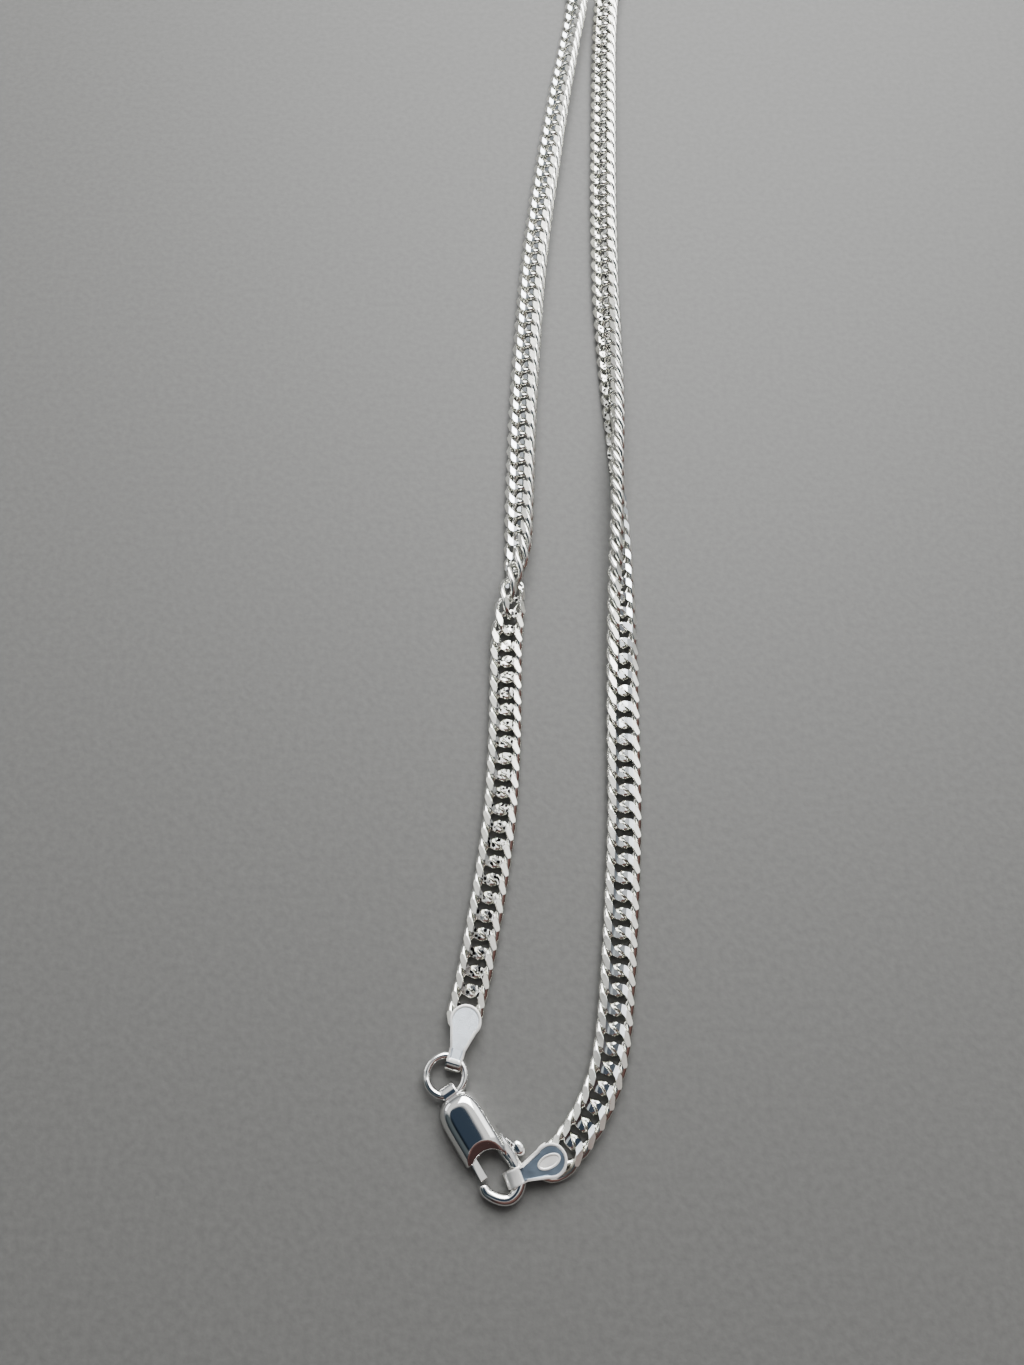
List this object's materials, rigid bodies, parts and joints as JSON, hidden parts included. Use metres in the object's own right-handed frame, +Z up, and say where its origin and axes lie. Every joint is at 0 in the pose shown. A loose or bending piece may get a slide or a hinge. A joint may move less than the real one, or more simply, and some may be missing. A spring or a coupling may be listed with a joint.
{
  "type": "chain necklace with lobster clasp",
  "caption": "Flat double-curb silver chain necklace, closed by a sprung lobster clasp, with a jump ring and folded end tags, lying on a surface.",
  "frame": {"origin": "middle of the whole outline, on the surface that the necklace lies on", "axes": "+Z up from the surface, +Y along the two strands from the clasp towards the hidden round loop, +X to the right with the clasp nearest the viewer"},
  "size_m": [0.04, 0.2064, 0.0036],
  "materials": {
    "chain_silver": "bright sterling silver, links with flat polished faces",
    "tag_silver": "bright sterling silver sheet with a pressed rim and a grained recess",
    "clasp_silver": "bright sterling silver, polished"
  },
  "bodies": {
    "necklace": {"chain_left": "chain_silver", "chain_right": "chain_silver", "tag_ring_side": "tag_silver", "tag_hook_side": "tag_silver", "jump_ring": "clasp_silver", "clasp_body": "clasp_silver"},
    "lever": {"clasp_lever": "clasp_silver"}
  },
  "joints": [
    {"name": "clasp_lever_hinge", "type": "hinge", "parent": "necklace", "child": "lever", "pos_m": [-0.01469, -0.09754, 0.0008], "axis": [0, 0, 1], "range_deg": [0, 16], "stiffness_Nm_per_rad": 0.003, "springref_deg": -11.46}
  ]
}
